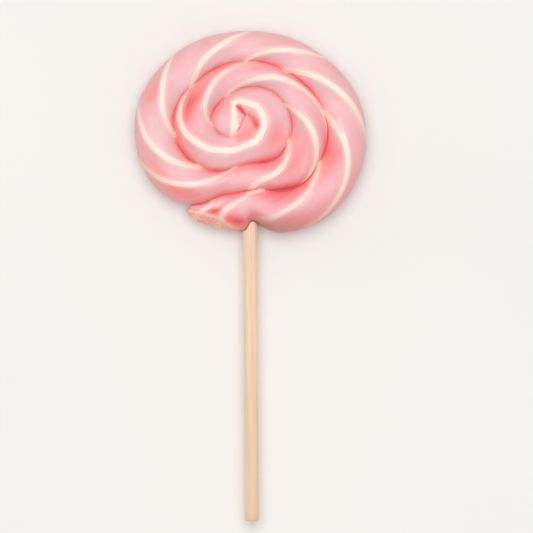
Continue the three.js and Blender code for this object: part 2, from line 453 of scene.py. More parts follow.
class Tree:
    """A node tree that is filled in a few short calls."""

    def __init__(self, tree: bpy.types.NodeTree) -> None:
        """Start from an empty tree."""
        self.tree = tree
        tree.nodes.clear()

    def add(self, kind: str, inputs: dict | None = None, **settings: object) -> bpy.types.Node:
        """A node of a kind, with its settings, and each named or numbered input linked or set.

        Args:
            kind: the node's type name, with or without its ShaderNode prefix.
            inputs: for each input, an output socket to link or a value to set.
            settings: properties of the node.

        Returns:
            The new node.
        """
        node = self.tree.nodes.new(kind if kind.startswith("Node") else f"ShaderNode{kind}")
        for name, value in settings.items():
            setattr(node, name, value)
        for key, value in (inputs or {}).items():
            if isinstance(value, Socket):
                self.tree.links.new(value, node.inputs[key])
            else:
                node.inputs[key].default_value = value
        return node

    def maths(self, operation: str, *values: object) -> Socket:
        """Result of a Math node of an operation on one to three values."""
        return self.add("Math", dict(enumerate(values)), operation=operation).outputs[0]

    def mark(self, mark: Mark) -> Socket:
        """The number that the mesh carries under that mark."""
        node = self.add("Attribute", attribute_type="GEOMETRY", attribute_name=mark.value)
        return node.outputs["Fac"]

    def window(self, value: object, low: float, high: float) -> Socket:
        """0 below low and 1 above high, smooth between; the other way round where low is above high."""
        inputs = {"Value": value, "From Min": low, "From Max": high, "To Min": 0.0, "To Max": 1.0}
        return self.add("MapRange", inputs, interpolation_type="SMOOTHSTEP").outputs["Result"]

    def blend(self, share: object, first: object, second: object) -> Socket:
        """Colour that goes from first to second as share goes from 0 to 1."""
        return self.add("Mix", {0: share, 6: first, 7: second}, data_type="RGBA").outputs[2]

    def group(self, shared: bpy.types.NodeTree, inputs: dict) -> bpy.types.bpy_prop_collection:
        """The outputs of a shared effect placed in this tree, with its inputs linked or set."""
        return self.add("Group", inputs, node_tree=shared).outputs

    def surface(self, inputs: dict) -> None:
        """The surface's shader, with its inputs linked or set."""
        shader = self.add("BsdfPrincipled", inputs)
        self.add("OutputMaterial", {"Surface": shader.outputs[0]})


def new_material(name: str) -> tuple[Material, Tree, Socket]:
    """A new material to fill.

    Args:
        name: its name.

    Returns:
        The material, its tree, and the place on a piece in Object coordinates.
    """
    material = bpy.data.materials.new(name)
    material.use_nodes = True
    tree = Tree(material.node_tree)
    return material, tree, tree.add("TexCoord").outputs["Object"]


class Effects:
    """Shader effects that more than one finish uses, each a node group made once."""

    def __init__(self) -> None:
        """Make the groups."""
        self.drawn_lines = self._drawn_lines()
        self.fine_grain = self._fine_grain()

    @staticmethod
    def _group(name: str, takes: dict[str, str], gives: tuple) -> tuple[Tree, dict, bpy.types.Node]:
        """An empty group with named sockets.

        Args:
            name: the group's name.
            takes: the name of each input, and its kind, Float or Vector.
            gives: names of the number outputs.

        Returns:
            The tree to fill, its input sockets by name, and its output node.
        """
        made = bpy.data.node_groups.new(name, "ShaderNodeTree")
        tree = Tree(made)
        for key, kind in takes.items():
            made.interface.new_socket(key, in_out="INPUT", socket_type=f"NodeSocket{kind}")
        for key in gives:
            made.interface.new_socket(key, in_out="OUTPUT", socket_type="NodeSocketFloat")
        start = tree.add("NodeGroupInput")
        return tree, {key: start.outputs[key] for key in takes}, tree.add("NodeGroupOutput")

    def _drawn_lines(self) -> bpy.types.NodeTree:
        """Fine lines drawn out along one direction, as in pulled candy or straight-grained wood.

        Noise is read at (across * fineness, along / length), so that it changes fast across the lines and
        slowly along them. A second noise, four times finer, is half as strong as the first.

        Returns:
            A group with Across, Along, Fineness and Length, which gives a Mask from 0 to 1.
        """
        takes = dict.fromkeys(("Across", "Along", "Fineness", "Length"), "Float")
        tree, given, out = self._group("drawn_lines", takes, ("Mask",))
        across = tree.maths("MULTIPLY", given["Across"], given["Fineness"])
        along = tree.maths("DIVIDE", given["Along"], given["Length"])
        place = tree.add("CombineXYZ", {0: across, 1: along}).outputs[0]
        coarse = tree.add("TexNoise", {"Vector": place, "Scale": 1.0, "Detail": 2.0}, noise_dimensions="2D")
        finer = tree.add("TexNoise", {"Vector": place, "Scale": 4.0, "Detail": 1.0}, noise_dimensions="2D")
        share = tree.maths("MULTIPLY", finer.outputs[0], 0.33)
        total = tree.maths("ADD", tree.maths("MULTIPLY", coarse.outputs[0], 0.67), share)
        tree.tree.links.new(tree.window(total, 0.3, 0.7), out.inputs["Mask"])
        return tree.tree

    def _fine_grain(self) -> bpy.types.NodeTree:
        """Fine unevenness of a matt or satin surface.

        Returns:
            A group with Place and Scale, which gives Grain, a noise, and Patches, ten times larger.
        """
        takes = {"Place": "Vector", "Scale": "Float"}
        tree, given, out = self._group("fine_grain", takes, ("Grain", "Patches"))
        grain = tree.add("TexNoise", {"Vector": given["Place"], "Scale": given["Scale"], "Detail": 3.0})
        slow = tree.maths("MULTIPLY", given["Scale"], 0.1)
        patches = tree.add("TexNoise", {"Vector": given["Place"], "Scale": slow, "Detail": 2.0})
        tree.tree.links.new(grain.outputs[0], out.inputs["Grain"])
        tree.tree.links.new(tree.window(patches.outputs[0], 0.3, 0.7), out.inputs["Patches"])
        return tree.tree


@dataclass(frozen=True)
class CandyFinish:
    """Satin pulled sugar: pink with painted groove shade, deeper and coral, and cream stripes on the lobes.

    tones are the pinks from the crest's to the deepest groove's, each with the two values of hollow
    between which it takes over from the one before: painted shade, darker and more coral toward the grooves.
    highlight_pink is a painted highlight, where hollow is below 0. The veil is a faint cream on both
    sides of a stripe. A scale is a number of noise cells to the metre. The pulled lines run along the rope:
    pulled_fineness is their cells to a stripe, and pulled_length the mm to a cell. bump holds a strength and
    a height in metres, and glow_reach is in metres.
    """

    # painted highlight, where the painted shade is below 0
    highlight_pink: Colour = linear(244, 212, 213)
    # painted shade: the pinks darken and turn coral from the crest toward the bottom of a groove
    tones: tuple[tuple[Colour, float, float], ...] = (
        (linear(239, 193, 197), -0.5, 0.05),
        (linear(240, 174, 178), 0.0, 0.5),
        (linear(248, 148, 150), 0.35, 0.85),
        (linear(245, 122, 126), 0.75, 1.1),
        (linear(218, 94, 100), 1.05, 1.4),
    )
    cream: Colour = linear(247, 230, 219)
    peach: Colour = linear(249, 208, 190)
    beige: Colour = linear(250, 192, 174)
    rosy_beige: Colour = linear(231, 148, 144)
    # painted shade on the rim by the stick
    shade_rose: Colour = linear(200, 132, 126)
    # painted contact shadow where the stick goes in
    shadow_brown: Colour = linear(140, 78, 50)
    patch_tone: float = 0.1
    line_tone: float = 0.14
    stripe_wander: float = 0.02
    stripe_softness: float = 0.34
    veil: float = 0.3
    veil_edge: Pair = (2.6, 0.8)
    roughness: float = 0.42
    rough_change: float = 0.12
    glow: float = 0.6
    glow_reach: float = 0.0025
    grain_scale: float = 1400.0
    cut_grain_scale: float = 18000.0
    pulled_fineness: float = 9.0
    pulled_length: float = 16.0
    bump: Pair = (0.12, 0.0002)

    def make(self, effects: Effects) -> Material:
        """The material.

        Args:
            effects: the shared shader groups.

        Returns:
            A material whose colour follows the marks on the mesh: the stripe's mask is 1 where the distance
            to the nearest whole stripe number is under the reach.
        """
        material, tree, place = new_material("pulled_candy")
        stripe, reach, hollow = tree.mark(Mark.STRIPE), tree.mark(Mark.REACH), tree.mark(Mark.GROOVE_SHADE)
        grain = tree.group(effects.fine_grain, {"Place": place, "Scale": self.grain_scale})
        pulled = {"Across": stripe, "Along": tree.mark(Mark.ALONG)}
        pulled |= {"Fineness": self.pulled_fineness, "Length": self.pulled_length}
        lines = tree.group(effects.drawn_lines, pulled)["Mask"]
        wander = tree.maths("MULTIPLY", tree.maths("SUBTRACT", lines, 0.5), self.stripe_wander)
        wrapped = tree.maths("PINGPONG", tree.maths("ADD", stripe, wander), 0.5)
        ratio = tree.maths("DIVIDE", wrapped, reach)
        drawn = tree.window(ratio, 1 + self.stripe_softness, 1 - self.stripe_softness)
        mask = tree.maths("MULTIPLY", drawn, tree.mark(Mark.SHOWN))
        # Painted shade from the mesh deepens the pink toward the grooves; below 0 it is a painted highlight.
        uneven = tree.maths("MULTIPLY_ADD", grain["Patches"], self.patch_tone, hollow)
        streaked = tree.maths("MULTIPLY_ADD", lines, self.line_tone, uneven)
        pink: Colour | Socket = self.highlight_pink
        for tone, low, high in self.tones:
            pink = tree.blend(tree.window(streaked, low, high), pink, tone)
        patches = tree.group(effects.fine_grain, {"Place": place, "Scale": self.cut_grain_scale})["Patches"]
        pink = tree.blend(tree.mark(Mark.CUT), pink, tree.blend(patches, self.beige, self.rosy_beige))
        # Peach toward the rope's edges is partly painted shade where the stripe dips toward a groove.
        white = tree.blend(tree.mark(Mark.PEACH), self.cream, self.peach)
        near = tree.maths("MULTIPLY", tree.window(ratio, *self.veil_edge), tree.mark(Mark.SHOWN))
        veiled = tree.maths("MAXIMUM", mask, tree.maths("MULTIPLY", near, self.veil))
        colour = tree.blend(veiled, pink, white)
        # Painted highlight on the fold, painted shade on the rim by the stick, and a painted contact shadow.
        for mark, shade in ((Mark.FOLD_HIGHLIGHT, self.peach), (Mark.RIM_SHADE, self.shade_rose), (Mark.SOCKET, self.shadow_brown)):
            colour = tree.blend(tree.mark(mark), colour, shade)
        smooth = self.roughness - self.rough_change / 2
        rough = tree.maths("MULTIPLY_ADD", grain["Patches"], self.rough_change, smooth)
        height = tree.maths("ADD", grain["Grain"], lines)
        strength, distance = self.bump
        bump = tree.add("Bump", {"Height": height, "Strength": strength, "Distance": distance})
        inputs = {"Base Color": colour, "Roughness": rough, "Normal": bump.outputs[0]}
        inputs |= {"Subsurface Weight": self.glow, "Subsurface Scale": self.glow_reach}
        inputs |= {"Subsurface Radius": (1.0, 0.5, 0.45), "IOR": 1.49, "Specular IOR Level": 0.4}
        tree.surface(inputs)
        return material


@dataclass(frozen=True)
class WoodFinish:
    """Pale unvarnished birch with a fine straight grain, a little darker toward its free end.

    toward_end tells from which y to which, in metres, the darker end_tone grows, and by how much.
    grain_scale and line_fineness are numbers of noise cells to the metre, and line_length the metres to a
    cell along the stick; the lines lean by the slant. bump holds a strength and a height in metres.
    """

    light: Colour = linear(247, 219, 191)
    dark: Colour = linear(232, 196, 162)
    rosy: Colour = linear(240, 205, 185)
    end_tone: Colour = linear(222, 188, 158)
    toward_end: tuple[Triple, ...] = ((0.02, -0.08, 0.45), (-0.077, -0.0805, 0.4))
    slant: float = 0.35
    rosy_share: float = 0.4
    roughness: float = 0.72
    rough_change: float = 0.1
    fuzz: float = 0.8
    grain_scale: float = 900.0
    line_fineness: float = 1100.0
    line_length: float = 0.05
    bump: Pair = (0.25, 0.0001)

    def make(self, effects: Effects) -> Material:
        """The material.

        Args:
            effects: the shared shader groups.

        Returns:
            A material with lines along the stick, read from Object coordinates.
        """
        material, tree, place = new_material("birch")
        apart = tree.add("SeparateXYZ", {0: place}).outputs
        across = tree.maths("MULTIPLY_ADD", apart["Z"], self.slant, apart["X"])
        straight = {"Across": across, "Along": apart["Y"]}
        straight |= {"Fineness": self.line_fineness, "Length": self.line_length}
        lines = tree.group(effects.drawn_lines, straight)["Mask"]
        grain = tree.group(effects.fine_grain, {"Place": place, "Scale": self.grain_scale})
        colour = tree.blend(lines, self.light, self.dark)
        colour = tree.blend(tree.maths("MULTIPLY", grain["Patches"], self.rosy_share), colour, self.rosy)
        toward_end: float | Socket = 0.0
        for start, end, share in self.toward_end:
            toward_end = tree.maths("MULTIPLY_ADD", tree.window(apart["Y"], start, end), share, toward_end)
        colour = tree.blend(toward_end, colour, self.end_tone)
        smooth = self.roughness - self.rough_change / 2
        rough = tree.maths("MULTIPLY_ADD", grain["Grain"], self.rough_change, smooth)
        height = tree.maths("ADD", lines, grain["Grain"])
        strength, distance = self.bump
        bump = tree.add("Bump", {"Height": height, "Strength": strength, "Distance": distance})
        inputs = {"Base Color": colour, "Roughness": rough, "Normal": bump.outputs[0]}
        tree.surface(inputs | {"Sheen Weight": self.fuzz, "Sheen Roughness": 0.4})
        return material


@dataclass(frozen=True)
class FloorFinish:
    """Plain pale matt paper with faint patches; patch_scale is their noise cells to the metre."""

    pale: Colour = linear(236, 235, 233)
    paler: Colour = linear(240, 239, 237)
    roughness: float = 0.9
    patch_scale: float = 60.0

    def make(self, effects: Effects) -> Material:
        """The material.

        Args:
            effects: the shared shader groups.

        Returns:
            A material with patches from the shared grain.
        """
        material, tree, place = new_material("pale_paper")
        patches = tree.group(effects.fine_grain, {"Place": place, "Scale": self.patch_scale})["Patches"]
        colour = tree.blend(patches, self.pale, self.paler)
        tree.surface({"Base Color": colour, "Roughness": self.roughness})
        return material


@dataclass
class Stick:
    """The wooden stick, a dowel with softly rounded ends."""

    name: str = "birch_stick"
    radius: float = 2.4
    length: float = 127
    free_end: float = -130.6
    axis_height: float = 6.2
    rim_x: float = 1.6
    rim_y: float = -35.2
    lean: float = 0.38
    rounding: float = 0.45
    waves: tuple[Triple, ...] = ((0.02, 0.23, 0), (0.015, 0.61, 1))
    oval: float = 0.004
    oval_turn: float = 0.7
    facets: int = 72
    rows: int = 150
    end_rows: int = 8

    def profile(self) -> tuple[Array, Array]:
        """The stick's outline: distance along it and radius.

        Returns:
            Both ends run from the middle of the end face out to the wall along a quarter circle. The wall
            has even rows, with slow sine waves, each told by its height, its rate and where it starts.
        """
        face = np.linspace(0, self.radius - self.rounding, self.end_rows, endpoint=False)
        bend = np.radians(np.linspace(0, 90, self.end_rows))
        out = self.radius - self.rounding + self.rounding * np.sin(bend)
        down = self.rounding * (1 - np.cos(bend))
        wall = np.linspace(self.rounding, self.length - self.rounding, self.rows)[1:-1]
        wave = sum(size * np.sin(wall * rate + start) for size, rate, start in self.waves)
        along = np.concatenate([0 * face, down, wall, self.length - down[::-1], self.length + 0 * face])
        radius = np.concatenate([face, out, self.radius + wave, out[::-1], face[::-1]])
        return along, radius

    def clearance(self, x: Array, y: Array, z: Array) -> Array:
        """How far places are from the stick's wall: their distance from its axis less its radius."""
        axis_x = self.rim_x - np.tan(np.radians(self.lean)) * (y - self.rim_y)
        return np.hypot(x - axis_x, z - self.axis_height) - self.radius

    def build(self, centre: Array) -> Piece:
        """The stick's mesh: the outline turned round its axis, with each pole one vertex.

        Args:
            centre: where the swirl's centre is in plan, in mm.

        Returns:
            The object.
        """
        along, radius = self.profile()
        turn = np.radians(np.arange(self.facets) * TURN / self.facets)
        out = radius[:, None] * (1 + self.oval * np.cos(2 * turn + self.oval_turn))
        x, z = out * np.cos(turn), out * np.sin(turn)
        y = np.broadcast_to((along + self.free_end - self.rim_y)[:, None], x.shape)
        tilt = np.radians(self.lean)
        place_x = x * np.cos(tilt) - y * np.sin(tilt) + self.rim_x + centre[0]
        place_y = x * np.sin(tilt) + y * np.cos(tilt) + self.rim_y + centre[1]
        points = np.stack([place_x, place_y, z + self.axis_height], -1).reshape(-1, 3)
        number = np.arange(len(points)).reshape(x.shape)
        number[0], number[-1] = number[0, 0], number[-1, 0]
        closed = np.concatenate([number, number[:, :1]], 1)
        corners = closed.ravel()[grid_triangles(len(along) - 1, self.facets)]
        return new_mesh(self.name, points * MM, corners[whole(corners)])

    def dress(self, piece: Piece, material: Material) -> None:
        """Give the piece its finish, attach it to the root body, and hide the CAD part that it replaces.

        Args:
            piece: the object.
            material: its finish.
        """
        piece.data.materials.append(material)
        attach(piece, "root")
        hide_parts("stick")


@dataclass(frozen=True)
class Spread:
    """One surface of the coil before its lobes and dents, with a row for each step along the rope.

    walk and radius hold each row's place along the rope and its outer radius, and t, for each column, is 0
    on an edge and 1 on the crest. The others have a value for each row and column: height is how far the
    place is above or below the equator, r its distance from the swirl's centre, x and y its place in plan,
    lateral its place across the rope, -1 on the outer edge and 1 on the inner one, and phase the stripes
    passed.
    """

    walk: Array
    radius: Array
    t: Array
    height: Array
    r: Array
    x: Array
    y: Array
    lateral: Array
    phase: Array


@dataclass
class CandyCoil:
    """The candy rope, coiled inward and fused into one disc.

    The equator is the level of the rim. A fade is the two walks, or the two distances in mm, between which a
    thing comes or goes. Each of the rim_shade_bells is painted shade, a dull rose on a stretch of the rim:
    its middle, its reach toward the tail and away from it, and its strength. A flank tells how much painted
    shade the side of a groove has, by a strength and a power of the distance from the crest, and flank_shade
    and line_tone a strength and what a full valley adds to it; line_tone is the painted shade of the line at
    the groove's bottom. rim_edge_shade is painted shade that grows toward the rim's edge, and
    groove_shade_strength scales the groove's painted shade along the rope.
    """

    name: str = "swirl_candy"
    plan: CoilPlan = field(default_factory=CoilPlan)
    twist: Twist = field(default_factory=Twist)
    last_walk: float = 1114
    columns: int = 36
    equator: float = 6.25
    top_height: float = 6.5
    back_height: float = 6.9
    groove_ratio: float = 0.55
    back_groove_ratio: float = 0.74
    wave_height: float = 0.25
    wave_walk: float = 205
    wave_ends: Pair = (660, 760)
    lobe_rise: float = 0.42
    lobe_groove_rise: float = 0.7
    kink: float = 0.45
    valleys: Valleys = field(default_factory=Valleys)
    stick: Stick = field(default_factory=Stick)
    # Reach in mm of the painted contact shadow round the stick, and its fade toward the stick.
    socket_reach: float = 1.1
    socket_fade: Pair = (28, 31)
    seam_depth: float = 0.25
    seam_reach: float = 0.35
    tail_full: float = 12
    tail_bluntness: float = 2.6
    tail_skew: float = -1.2
    tail_skew_length: float = 8
    cut_slope: float = 1.35
    cut_steepens: float = -22
    cut_steepness: float = 0.0065
    cut_soft: float = 0.5
    cut_hides: float = 0.45
    cut_evens: float = 0.8
    # Width, share and fade of the painted highlight on the fold.
    fold_width: float = 0.45
    fold_share: float = 0.65
    fold_fade: Pair = (2, 8)
    core_fade: Pair = (1005, 1045)
    stripe_fade: Pair = (1018, 1046)
    reach_limits: Pair = (0.04, 0.28)
    # Where the stripes turn peach toward the rope's edges, partly painted shade.
    peach_edge: Pair = (0.4, 1.1)
    least_radius: float = 4
    # Painted shade toward the rim's edge, on the groove flanks and on the line at the groove's bottom.
    rim_edge_shade: float = 0.22
    outer_flank: Pair = (0.8, 1.9)
    inner_flank: Pair = (1.05, 4)
    flank_shade: Pair = (0.6, 0.5)
    line_tone: Pair = (0.1, 0.4)
    # Painted shade on stretches of the rim by the stick.
    rim_shade_bells: tuple[Values, ...] = ((12, 13, 26, 0.85), (320, 30, 30, 0.15))
    rim_shade_edge: Pair = (-0.2, 0.9)
    dents_from: float = 3
    dents: tuple[Dent, ...] = (
        Dent(5.5, -0.9, 5, 5, 0.5, 1.1, 0.35, 0.9),  # the mouth that the stick goes into
        Dent(-20, 0.03, 9, 7, 0.25, 0.5, 1.1),  # pocket above the cut face, near the tip, with red painted shade
        Dent(-13, -0.3, 8, 8, 0.3, 0.0, 0.3, 0.45),
        Dent(2, -0.25, 6, 6, 0.25, 0.0, -0.25),
        Dent(-4, -0.49, 8, 9, 0.3, 0.38, 0.95),  # and near the stick
        Dent(0, 0.4, 7, 10, 0.3, 0.0, -0.35),  # painted highlight, pale, on the lobe by the stick
        Dent(4, 0.2, 26, 26, 0.6, 0.0, 0.25),
        Dent(28, -0.55, 26, 34, 0.45, 0.0, 0.3),  # the rim beyond the stick
        Dent(26, 0.72, 20, 18, 0.4, 0.45, 0.5),
        Dent(68, 0.55, 15, 12, 0.5, 0.6, 0.65),
        Dent(170, 0.8, 35, 35, 0.2, 0.0, 0.2),
        Dent(230, 0.55, 30, 30, 0.3, 0.0, -0.25),
        Dent(255, -0.5, 16, 3, 0.4, 0.25, 0.4),
        Dent(290, 0.15, 18, 14, 0.35, 0.0, -0.35),
        Dent(316, -0.4, 28, 30, 0.4, 0.1, 0.55),
        Dent(339, -0.85, 10, 8, 0.25, 0.2, 0.4),
        Dent(375, 0.6, 45, 40, 0.3, 0.0, 0.35),
        Dent(392, -0.88, 16, 13, 0.3, 0.5, 0.45),
        Dent(412, 0.1, 26, 34, 0.6, 0.1, 0.55),
        Dent(540, -0.5, 36, 36, 0.5, 0.0, 0.2),
        Dent(610, -0.4, 26, 26, 0.42, 0.7, 0.75),
        Dent(625, -0.3, 38, 38, 0.9, 0.0, 0.3),
        Dent(672, -0.95, 25, 25, 0.25, 0.2, 0.3),
        Dent(712, -0.65, 42, 42, 0.3, 0.0, -0.35),
        Dent(690, -0.05, 30, 30, 0.3, 0.0, -0.4),  # painted highlight, pale, outside the stripe that runs round the core
        Dent(748, -0.92, 24, 18, 0.25, 0.4, 0.5),
        Dent(790, -0.4, 32, 22, 0.45, 0.3, 0.42),
        Dent(830, -0.8, 55, 55, 0.25, 0.0, -0.3),
        Dent(965, -0.85, 35, 35, 0.35, 0.35, 0.25),
    )
    creases: tuple[Crease, ...] = (
        Crease(((-2.55, 5.8), (-1.22, 4.37), (0.03, 2.89)), (0.85, 0.75, 0.4), 0.75, 1.15),
        Crease(((0.03, 2.89), (0.89, 2.89), (2.4, 1.5), (3.9, -1.0)), (0.4, 0.6, 0.95, 0.8), 0.5, 0.6),
        Crease(((0.03, 2.89), (-0.79, 0.79), (-2.04, -2.13)), (0.4, 0.35, 0.25), 0.4, 0.5),
        Crease(((-6.14, -7.39), (-1.38, -7.16), (-0.23, -6.96)), (0.3, 0.4, 0.3), 0.15, 0.6),
    )
    pools: tuple[Crease, ...] = (
        Crease(((-1.5, -4.6), (1.5, -3.6), (4.2, 0.5)), (2.3, 2.6, 1.8), 0.0, 0.5),
        Crease(((-6.9, 1.2), (-6.9, -1.6)), (1.5, 1.5), 0.0, -0.35),
        Crease(((-0.5, 0.0), (0.5, 0.5)), (6.5, 6.5), 0.6, 0.2),
    )
    # Strength of the painted groove shade, every tone_step of walk from tone_from.
    groove_shade_strength: Values = (
        0.8, 1, 1.05, 0.85, 0.75, 0.75, 0.9, 1, 1, 1.05, 1, 0.7, 0.45, 0.5, 0.6, 0.4, 0.3,
    )  # fmt: skip
    tone_from: float = 330
    tone_step: float = 45

    def crest(self, walk: Array) -> Array:
        """Height of the crest above the equator.

        Args:
            walk: places along the rope.

        Returns:
            A constant and a slow sine, with a blunt rise from the tail's tip.
        """
        tip = self.plan.tail_tip
        tail = np.clip((walk - tip) / (self.tail_full - tip), 0, 1)
        wave = self.wave_height * np.sin((walk - tip) / self.wave_walk * 2 * np.pi)
        shown = ramp(walk, tip, self.tail_full) * (1 - ramp(walk, *self.wave_ends))
        return (self.top_height + wave * shown) * np.sqrt(1 - (1 - tail) ** self.tail_bluntness)

    def fullness(self, walk: Array) -> Array:
        """How much of its full height the rope has; under 1 only in the tail."""
        return np.minimum(1, self.crest(walk) / self.top_height)

    def edges(self, walk: Array) -> tuple[Array, Array, Array]:
        """The rope's outer edge.

        Args:
            walk: places along the rope.

        Returns:
            Its radius, and its heights above and below the equator, both 0 on the rim. A groove has a share
            of the crest's height, and the lobes on both sides fill it or leave it deeper. Where a lobe of
            the outer turn ends in the groove, the groove is pushed inward by the kink.
        """
        radius = self.plan.radius(walk)
        outer = walk - TURN
        one = np.ones((len(walk), 1))
        from_outside = np.cos(2 * np.pi * self.twist.phase(outer, one))[:, 0]
        from_inside = np.cos(2 * np.pi * self.twist.phase(walk, -one))[:, 0]
        fade = 1 - ramp(walk, *self.core_fade)
        full = self.fullness(outer)
        rise = 0.5 * self.lobe_groove_rise * (from_outside + from_inside) * full * fade
        ratio = 1 - (1 - self.groove_ratio) * fade
        lower = np.minimum(self.crest(walk), self.crest(outer))
        up = np.minimum(ratio * self.crest(outer) + rise, lower)
        down = (1 - (1 - self.back_groove_ratio) * fade) * self.back_height * full
        groove = walk > self.plan.tail_tip + TURN
        push = self.kink * np.maximum(from_outside, 0) ** 2 * full * fade
        return radius - np.where(groove, push, 0), np.where(groove, up, 0), np.where(groove, down, 0)

    @staticmethod
    def section(height: Array, edge: Array, t: Array) -> tuple[Array, Array]:
        """The rope's round section.

        Args:
            height: crest height above the equator.
            edge: height of the edge above the equator.
            t: 0 at the edge and 1 on the crest.

        Returns:
            How far out toward the edge, 0 to 1, and the height, for an angle round the rope that goes evenly
            from the edge, at arccos(edge / height), to 0 on the crest.
        """
        opening = np.arccos(np.clip(edge / np.maximum(height, 1e-6), 0, 1))
        turned = (1 - t) * opening
        flat = opening < 1e-3
        outward = np.where(flat, 1 - t, np.sin(turned) / np.where(flat, 1, np.sin(opening)))
        return outward, height * np.cos(turned)

    def lateral(self, walk: Array, r: Array) -> Array:
        """Place across the rope, as the twist sees it: -1 on the outer edge and 1 on the inner one.

        Args:
            walk: places along the rope, one for each row.
            r: distances from the swirl's centre, for each row and column.

        Returns:
            Even steps from the row's outer edge to the next turn's, or to the centre where that has ended.
        """
        outer, inner = self.plan.radius(walk), self.plan.radius(walk + TURN)
        return np.clip(2 * (outer[:, None] - r) / (outer - inner)[:, None] - 1, -1, 1)

    def spread(self, side: Side) -> Spread:
        """One surface of the coil, on a grid of rows along the rope and columns across it.

        Args:
            side: the upper or the back surface.

        Returns:
            The surface without its lobes and dents. A point lies between the row's outer edge and the next
            turn's outer edge, which is its inner edge; each half of the section is a rounded one.
        """
        walk = np.arange(self.plan.tail_tip, self.last_walk + 1)
        radius, up, down = self.edges(walk)
        upper = side is Side.UPPER
        crest = self.crest(walk) if upper else self.back_height * self.fullness(walk)
        low = up if upper else down
        inner_radius = np.append(radius[TURN:], np.zeros(TURN))
        inner_low = np.append(low[TURN:], np.full(TURN, crest[-1]))
        v = np.arange(self.columns + 1) / self.columns
        sign = np.where(v <= 0.5, -1, 1)
        t = 1 - np.abs(2 * v - 1)
        edge = np.where(sign < 0, low[:, None], inner_low[:, None])
        outward, height = self.section(crest[:, None], edge, t)
        across = (1 + sign * outward) / 2
        r = radius[:, None] + (inner_radius - radius)[:, None] * across
        skewed = np.clip(1 - (walk - self.plan.tail_tip) / self.tail_skew_length, 0, 1)[:, None] ** 2
        angle = np.radians(walk[:, None] - QUARTER + self.tail_skew * (1 - across) * skewed)
        lateral = self.lateral(walk, r)
        phase = self.twist.phase(walk, lateral)
        return Spread(walk, radius, t, height, r, r * np.cos(angle), r * np.sin(angle), lateral, phase)

    def relief(self, on: Spread) -> tuple[Array, ...]:
        """The upper surface with its lobes, valleys, dents and cracks, and the cut face of the tail.

        Args:
            on: the surface without them.

        Returns:
            Its heights, how much painted shade deepens the pink, how much of a stripe is hidden, and how
            much a place belongs to the cut face and to the painted highlight on the fold beside it. A lobe
            is a cosine of the stripes passed, highest on the crest. The cut face rises inward from the rim,
            steeper away from the tip, and the surface is the lower of the two, less the dents, the valleys,
            the deepest crack and the line in the groove. Dents and cracks are full only where the surface is
            high enough over the equator.
        """
        walk = on.walk[:, None]
        full = self.fullness(walk) * (1 - ramp(walk, *self.core_fade))
        lobe = np.cos(2 * np.pi * on.phase) * np.sin(on.t * np.pi / 2) ** 2
        swollen = on.height + self.lobe_rise * lobe * full
        steep = self.cut_slope + self.cut_steepness * np.maximum(0, walk - self.cut_steepens) ** 2
        over = swollen - np.where(walk < 0, (on.radius[:, None] - on.r) * steep, np.inf)
        dents = [(dent, dent.shape(walk, on.lateral)) for dent in self.dents]
        hollows = dents + [(pool, pool.shape(on.x, on.y)) for pool in self.pools]
        cracks = [(crease, crease.shape(on.x, on.y)) for crease in self.creases]
        sunk = sum(part.depth * shape for part, shape in hollows)
        sunk = sunk + np.max([part.depth * shape for part, shape in cracks], axis=0)
        sunk = sunk * np.minimum(1, on.height / self.dents_from)
        valley = self.valleys.strength(on.phase, on.lateral) * on.t * (1 - on.t) * 4
        sunk = sunk + self.valleys.depth * valley + self.seam_depth * self.groove(on)
        # Painted shade that the dents, pools and deepest crack add to the pink; below 0 a painted highlight.
        red = sum(part.red * shape for part, shape in hollows)
        red = red + np.max([part.red * shape for part, shape in cracks], axis=0)
        hidden = np.clip(sum(dent.hides * shape for dent, shape in dents), 0, 1)
        cut = ramp(over, -self.cut_soft, self.cut_soft)
        # Painted highlight along the fold between the rope and its cut face.
        fold_highlight = self.fold_share * bell(over, self.fold_width) * ramp(-walk, *self.fold_fade)
        z = self.equator + np.maximum(0, swollen - np.maximum(0, over) - sunk)
        return z, red, hidden, cut, fold_highlight

    def surface(self, side: Side) -> tuple[Array, dict[Mark, Array]]:
        """One finished surface of the coil.

        Args:
            side: the upper or the back surface.

        Returns:
            Its points, and the marks for the finish, by row and column.
        """
        on = self.spread(side)
        if side is Side.UPPER:
            z, red, hidden, cut, fold_highlight = self.relief(on)
        else:
            z = np.maximum(0, self.equator - on.height)
            red, hidden, cut, fold_highlight = np.zeros((4, *z.shape))
        points = np.stack([on.x, on.y, z], -1)
        ended = 1 - ramp(on.walk, *self.stripe_fade)[:, None]
        steps = np.radians(1) * np.maximum(on.radius, self.least_radius)
        # Painted contact shadow: a bell of the distance from the stick's wall.
        socket = bell(self.stick.clearance(on.x, on.y, z), self.socket_reach)
        marks = {
            Mark.STRIPE: on.phase,
            Mark.REACH: self.stripe_reach(on, points),
            Mark.SHOWN: ended * (1 - hidden) * (1 - self.cut_hides * cut) * self.twist.clearness(on.phase),
            Mark.PEACH: np.maximum(ramp(np.abs(on.lateral), *self.peach_edge), cut),
            Mark.GROOVE_SHADE: self.hollow(on) * (1 - cut) + red * (1 - self.cut_evens * cut),
            Mark.RIM_SHADE: self.painted_rim_shade(on) * (1 - cut),
            Mark.SOCKET: socket * ramp(-on.y, *self.socket_fade),
            Mark.CUT: cut,
            Mark.FOLD_HIGHLIGHT: fold_highlight,
            Mark.ALONG: np.cumsum(steps)[:, None] * np.ones_like(z),
        }
        return points, marks

